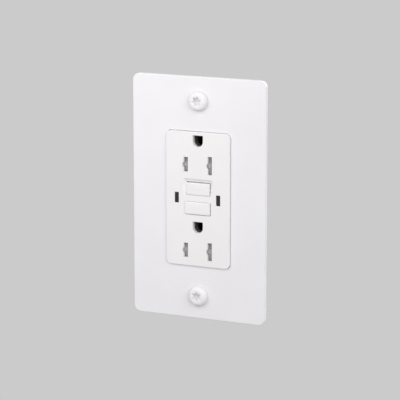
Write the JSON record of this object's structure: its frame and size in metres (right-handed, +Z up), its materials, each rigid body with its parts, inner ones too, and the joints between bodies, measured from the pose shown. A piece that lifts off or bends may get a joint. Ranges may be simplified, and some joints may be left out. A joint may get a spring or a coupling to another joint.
{
  "type": "ground-fault outlet",
  "caption": "Ground-fault wall outlet: white face with shuttered receptacles, test and reset buttons and status windows, in a flat screwed wall plate on a steel strap with a rear housing.",
  "frame": {"origin": "on the wall surface, at the middle of the wall plate's back face", "axes": "+X to the right of a person facing the wall, +Y into the wall, +Z up"},
  "size_m": [0.07, 0.0369, 0.12],
  "materials": {
    "white_plate": "smooth semi-gloss white paint",
    "white_plastic": "moulded white plastic",
    "smoked_lens": "smoked light pipe",
    "shutter_grey": "moulded grey plastic",
    "grey_plastic": "fine moulded texture",
    "dark_plastic": "moulded black plastic",
    "zinc_steel": "zinc plated",
    "spring_steel": "drawn wire",
    "brass": "stamped brass",
    "nickel": "nickel plated brass",
    "green_steel": "green dyed plating",
    "fibre": "pressed fibre card",
    "board_green": "solder-masked laminate",
    "copper_wire": "enamelled wire",
    "varistor_blue": "dipped coating",
    "capacitor_ochre": "dipped coating",
    "clear_lamp": "clear cast resin"
  },
  "bodies": {
    "outlet": {"wall_plate": "white_plate", "front_cover": "white_plastic", "status_lens_left": "smoked_lens", "status_lens_right": "smoked_lens", "upper_shutter_tray": "grey_plastic", "lower_shutter_tray": "grey_plastic", "upper_shutter_spring": "spring_steel", "lower_shutter_spring": "spring_steel", "mounting_strap": "zinc_steel", "screw_retainer_upper": "fibre", "screw_retainer_lower": "fibre", "ground_contact_upper": "brass", "ground_contact_lower": "brass", "contact_carrier": "grey_plastic", "hot_contact_bar": "brass", "neutral_contact_bar": "nickel", "line_hot_terminal": "brass", "line_neutral_terminal": "nickel", "test_spring": "spring_steel", "reset_spring": "spring_steel", "test_contact_leaf": "brass", "circuit_board": "board_green", "sense_transformer": "dark_plastic", "solenoid_frame": "zinc_steel", "solenoid_winding": "copper_wire", "plunger_spring": "spring_steel", "surge_varistor": "varistor_blue", "film_capacitor": "capacitor_ochre", "control_chip": "dark_plastic", "indicator_led_left": "clear_lamp", "indicator_led_right": "clear_lamp", "rear_housing": "grey_plastic", "housing_screw_upper_left": "zinc_steel", "housing_screw_upper_right": "zinc_steel", "housing_screw_lower_left": "zinc_steel", "housing_screw_lower_right": "zinc_steel"},
    "test_button": {"test_button": "white_plastic"},
    "reset_button": {"reset_button": "white_plastic"},
    "upper_hot_shutter": {"upper_hot_shutter": "shutter_grey"},
    "upper_neutral_shutter": {"upper_neutral_shutter": "shutter_grey"},
    "lower_hot_shutter": {"lower_hot_shutter": "shutter_grey"},
    "lower_neutral_shutter": {"lower_neutral_shutter": "shutter_grey"},
    "trip_plunger": {"trip_plunger": "zinc_steel"},
    "latch_carriage": {"latch_carriage": "dark_plastic", "hot_contact_arm": "brass", "neutral_contact_arm": "brass"},
    "load_hot_clamping": {"load_hot_screw": "brass", "load_hot_clamp": "zinc_steel"},
    "load_neutral_clamping": {"load_neutral_screw": "nickel", "load_neutral_clamp": "zinc_steel"},
    "line_hot_clamping": {"line_hot_screw": "brass", "line_hot_clamp": "zinc_steel"},
    "line_neutral_clamping": {"line_neutral_screw": "nickel", "line_neutral_clamp": "zinc_steel"},
    "ground_screw": {"ground_screw": "green_steel"},
    "plate_screw_upper": {"plate_screw_upper": "white_plate"},
    "plate_screw_lower": {"plate_screw_lower": "white_plate"},
    "box_screw_upper": {"box_screw_upper": "zinc_steel"},
    "box_screw_lower": {"box_screw_lower": "zinc_steel"}
  },
  "joints": [
    {"name": "test_press", "type": "slide", "parent": "outlet", "child": "test_button", "axis": [0, 1, 0], "range_m": [0, 0.0015], "stiffness_N_per_m": 100, "springref_m": -0.0008, "deforming": ["test_spring"]},
    {"name": "reset_press", "type": "slide", "parent": "outlet", "child": "reset_button", "axis": [0, 1, 0], "range_m": [0, 0.0022], "stiffness_N_per_m": 100, "springref_m": -0.0008, "deforming": ["reset_spring"]},
    {"name": "upper_neutral_shutter_slide", "type": "slide", "parent": "outlet", "child": "upper_neutral_shutter", "axis": [-1, 0, 0], "range_m": [0, 0.0034], "stiffness_N_per_m": 20, "springref_m": -0.0008, "deforming": ["upper_shutter_spring"]},
    {"name": "upper_hot_shutter_slide", "type": "slide", "parent": "outlet", "child": "upper_hot_shutter", "axis": [-1, 0, 0], "range_m": [0, 0.0034]},
    {"name": "lower_neutral_shutter_slide", "type": "slide", "parent": "outlet", "child": "lower_neutral_shutter", "axis": [-1, 0, 0], "range_m": [0, 0.0034], "stiffness_N_per_m": 20, "springref_m": -0.0008, "deforming": ["lower_shutter_spring"]},
    {"name": "lower_hot_shutter_slide", "type": "slide", "parent": "outlet", "child": "lower_hot_shutter", "axis": [-1, 0, 0], "range_m": [0, 0.0034]},
    {"name": "plunger_stroke", "type": "slide", "parent": "outlet", "child": "trip_plunger", "axis": [0, 0, -1], "range_m": [0, 0.002], "stiffness_N_per_m": 100, "springref_m": -0.001, "deforming": ["plunger_spring"]},
    {"name": "latch_close", "type": "slide", "parent": "outlet", "child": "latch_carriage", "axis": [0, -1, 0], "range_m": [0, 0.0014], "stiffness_N_per_m": 100, "springref_m": -0.0008},
    {"name": "load_hot_clamp_slide", "type": "slide", "parent": "outlet", "child": "load_hot_clamping", "axis": [-1, 0, 0], "range_m": [0, 0.0026]},
    {"name": "load_neutral_clamp_slide", "type": "slide", "parent": "outlet", "child": "load_neutral_clamping", "axis": [1, 0, 0], "range_m": [0, 0.0026]},
    {"name": "line_hot_clamp_slide", "type": "slide", "parent": "outlet", "child": "line_hot_clamping", "axis": [-1, 0, 0], "range_m": [0, 0.0026]},
    {"name": "line_neutral_clamp_slide", "type": "slide", "parent": "outlet", "child": "line_neutral_clamping", "axis": [1, 0, 0], "range_m": [0, 0.0026]},
    {"name": "ground_screw_slide", "type": "slide", "parent": "outlet", "child": "ground_screw", "axis": [0, 0, -1], "range_m": [0, 0.003]},
    {"name": "plate_screw_upper_turn", "type": "hinge", "parent": "outlet", "child": "plate_screw_upper", "pos_m": [0, -0.00215, 0.0484], "axis": [0, 1, 0], "continuous": true},
    {"name": "plate_screw_lower_turn", "type": "hinge", "parent": "outlet", "child": "plate_screw_lower", "pos_m": [0, -0.00215, -0.0484], "axis": [0, 1, 0], "continuous": true},
    {"name": "box_screw_upper_turn", "type": "hinge", "parent": "outlet", "child": "box_screw_upper", "pos_m": [0, 0.00225, 0.04167], "axis": [0, 1, 0], "continuous": true},
    {"name": "box_screw_lower_turn", "type": "hinge", "parent": "outlet", "child": "box_screw_lower", "pos_m": [0, 0.00225, -0.04167], "axis": [0, 1, 0], "continuous": true}
  ],
  "couplings": [
    {"joint": "upper_hot_shutter_slide", "follows": "upper_neutral_shutter_slide", "ratio": 1},
    {"joint": "lower_hot_shutter_slide", "follows": "lower_neutral_shutter_slide", "ratio": 1}
  ]
}
